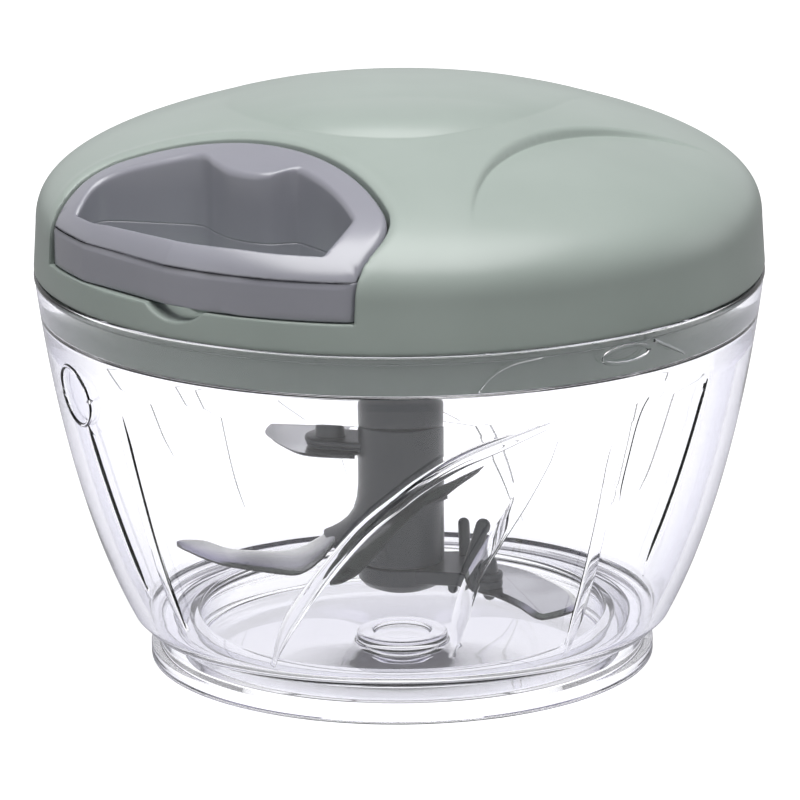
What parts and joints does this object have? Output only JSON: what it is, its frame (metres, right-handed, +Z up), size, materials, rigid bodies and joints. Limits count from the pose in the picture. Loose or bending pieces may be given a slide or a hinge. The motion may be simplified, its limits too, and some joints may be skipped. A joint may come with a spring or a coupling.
{
  "type": "pull cord food chopper",
  "caption": "Round hand chopper with a clear ribbed bowl on a foot ring, a domed lid with a let-in pull handle on a cord, and a hub with steel blades.",
  "frame": {"origin": "centre of the foot ring's underside, on the surface the chopper stands on", "axes": "+Z up along the drive shaft; -Y towards the picture's viewer, +X to the viewer's right; the handle leaves the lid at 231 degrees from +X"},
  "size_m": [0.13, 0.13, 0.1044],
  "materials": {
    "clear_plastic": "clear polished plastic with a faint violet cast in its edges",
    "sage_plastic": "sage green moulded plastic, satin",
    "lilac_plastic": "lilac grey moulded plastic, satin",
    "grey_plastic": "dark grey moulded plastic, satin",
    "white_plastic": "natural white acetal, satin",
    "blade_steel": "polished blade steel with dark ground edges",
    "spring_steel": "blued spring strip",
    "zinc_steel": "zinc plated screw steel",
    "brass": "turned brass",
    "cord_nylon": "braided off-white nylon"
  },
  "bodies": {
    "bowl": {"bowl": "clear_plastic"},
    "lid": {"lid_shell": "sage_plastic", "lid_inner_cover": "sage_plastic", "lid_screw_1": "zinc_steel", "lid_screw_2": "zinc_steel", "lid_screw_3": "zinc_steel", "lid_screw_4": "zinc_steel", "shaft_bush": "white_plastic", "spring_arbor": "white_plastic", "recoil_spring": "spring_steel", "cord_eyelet": "brass", "pull_cord_run": "cord_nylon"},
    "spindle": {"drive_shaft": "grey_plastic", "cord_drum": "white_plastic", "drum_cap": "white_plastic", "drum_washer": "zinc_steel", "shaft_screw": "zinc_steel", "pull_cord_winding": "cord_nylon"},
    "handle": {"handle_upper": "lilac_plastic", "handle_lower": "lilac_plastic", "handle_screw_1": "zinc_steel", "handle_screw_2": "zinc_steel", "cord_stop": "brass", "pull_cord_lead": "cord_nylon"},
    "blade_unit": {"hub_body": "grey_plastic", "hub_base_ring": "grey_plastic", "blade_upper": "blade_steel", "blade_left": "blade_steel", "blade_front": "blade_steel", "blade_lower": "blade_steel"}
  },
  "joints": [
    {"name": "lid_lift", "type": "slide", "parent": "bowl", "child": "lid", "axis": [0, 0, 1], "range_m": [0, 0.09]},
    {"name": "handle_pull", "type": "slide", "parent": "lid", "child": "handle", "axis": [-0.6293, -0.7771, 0], "range_m": [0, 0.3], "stiffness_N_per_m": 12, "springref_m": -0.05, "deforming": ["pull_cord_lead"]},
    {"name": "shaft_spin", "type": "hinge", "parent": "lid", "child": "spindle", "pos_m": [0, 0, 0.0682], "axis": [0, 0, 1], "range_deg": [0, 939.3]},
    {"name": "blade_unit_release", "type": "slide", "parent": "spindle", "child": "blade_unit", "axis": [0, 0, -1], "range_m": [0, 0.0042]}
  ],
  "couplings": [
    {"joint": "shaft_spin", "follows": "handle_pull", "rad_per_m": 54.645}
  ]
}
